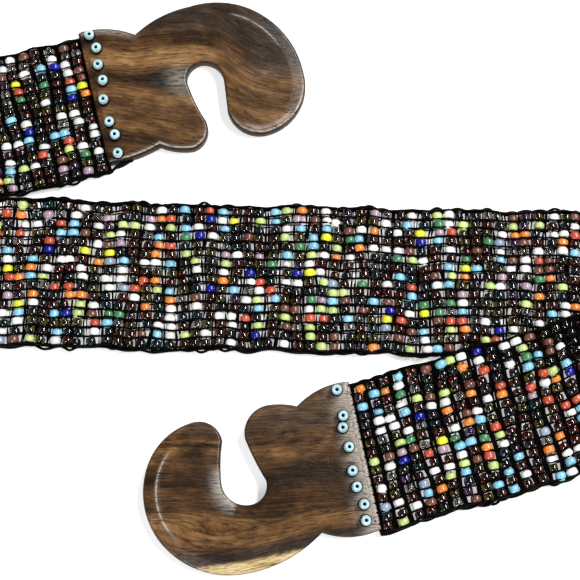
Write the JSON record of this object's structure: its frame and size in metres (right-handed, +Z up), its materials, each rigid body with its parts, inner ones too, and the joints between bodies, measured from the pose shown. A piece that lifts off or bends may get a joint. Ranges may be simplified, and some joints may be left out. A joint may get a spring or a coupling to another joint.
{
  "type": "beaded belt",
  "caption": "Wide loom-woven seed bead belt laid out in three folded runs, with a carved wooden hook plate sewn to each end.",
  "frame": {"origin": "middle of the belt's footprint, on the surface that it lies on", "axes": "+X along the belt's middle run towards the fold on the right, +Z up out of the surface that it lies on"},
  "size_m": [0.525, 0.2026, 0.0124],
  "materials": {
    "bead_weave": "close rows of glossy glass seed beads in mixed colours on black thread",
    "opaque_beads": "glossy opaque glass in white, sky blue, lime, coral, orange, yellow, green, grey, brown and navy",
    "clear_beads": "glossy see-through glass in brown, olive, crystal, wine, teal and smoke",
    "black_thread": "matte waxed cotton",
    "dark_wood": "polished hardwood with brown, amber and grey streaks along the hook",
    "blue_beads": "glossy opaque glass, pale turquoise"
  },
  "bodies": {
    "root": {"beaded_band": "bead_weave", "upper_hook": "dark_wood", "lower_hook": "dark_wood", "upper_stud_1": "blue_beads", "upper_stud_2": "blue_beads", "upper_stud_3": "blue_beads", "upper_stud_4": "blue_beads", "upper_stud_5": "blue_beads", "upper_stud_6": "blue_beads", "upper_stud_7": "blue_beads", "upper_stud_8": "blue_beads", "lower_stud_1": "blue_beads", "lower_stud_2": "blue_beads", "lower_stud_3": "blue_beads", "lower_stud_4": "blue_beads", "lower_stud_5": "blue_beads", "lower_stud_6": "blue_beads", "lower_stud_7": "blue_beads", "lower_stud_8": "blue_beads"}
  },
  "joints": []
}
